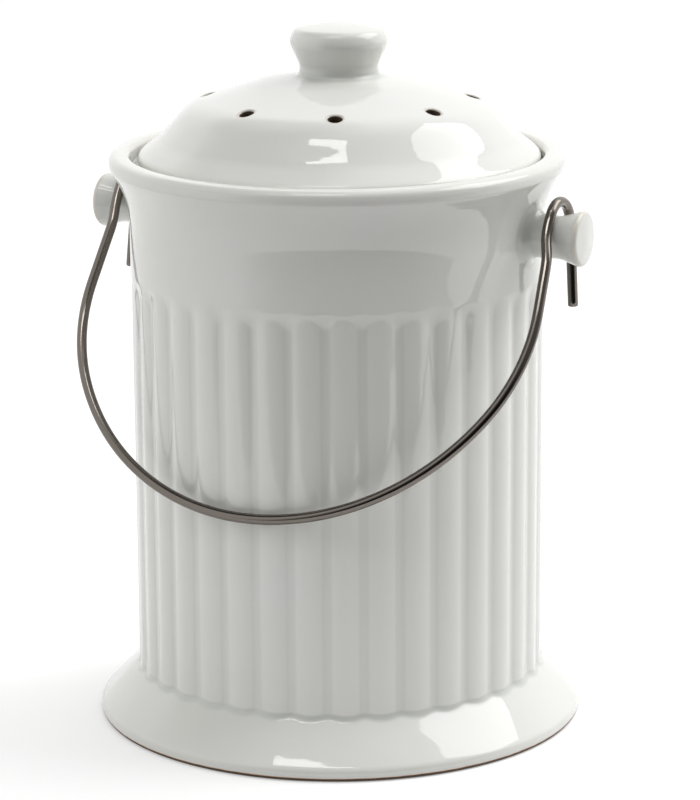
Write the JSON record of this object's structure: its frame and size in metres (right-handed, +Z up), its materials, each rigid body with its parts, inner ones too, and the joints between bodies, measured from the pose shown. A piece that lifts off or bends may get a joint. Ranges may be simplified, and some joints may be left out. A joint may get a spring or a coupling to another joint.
{
  "type": "compost keeper",
  "caption": "Round reeded ceramic countertop keeper for kitchen scraps, with a vented domed lid over a charcoal filter and a swinging wire bail on side lugs.",
  "frame": {"origin": "centre of the foot, on the surface that the keeper stands on", "axes": "+Z up, X through the two lugs, and the bail hangs in front, towards -Y"},
  "size_m": [0.2088, 0.192, 0.2756],
  "materials": {
    "glazed_stoneware": "clear glossy pale grey glaze, bare clay under the foot ring",
    "charcoal_fibre": "matt black pressed carbon fibre",
    "felt": "soft needled felt",
    "steel_wire": "smooth bright drawn stainless wire"
  },
  "bodies": {
    "crock": {"crock": "glazed_stoneware"},
    "lid": {"lid": "glazed_stoneware"},
    "filter": {"charcoal_pad": "charcoal_fibre", "felt_cover": "felt"},
    "bail": {"bail_handle": "steel_wire"}
  },
  "joints": [
    {"name": "bail_swing", "type": "hinge", "parent": "crock", "child": "bail", "pos_m": [0, 0, 0.198], "axis": [-1, 0, 0], "range_deg": [0, 279]},
    {"name": "lid_lift", "type": "slide", "parent": "crock", "child": "lid", "axis": [0, 0, 1], "range_m": [0, 0.12]},
    {"name": "filter_pull", "type": "slide", "parent": "lid", "child": "filter", "axis": [0, 0, -1], "range_m": [0, 0.035]}
  ]
}
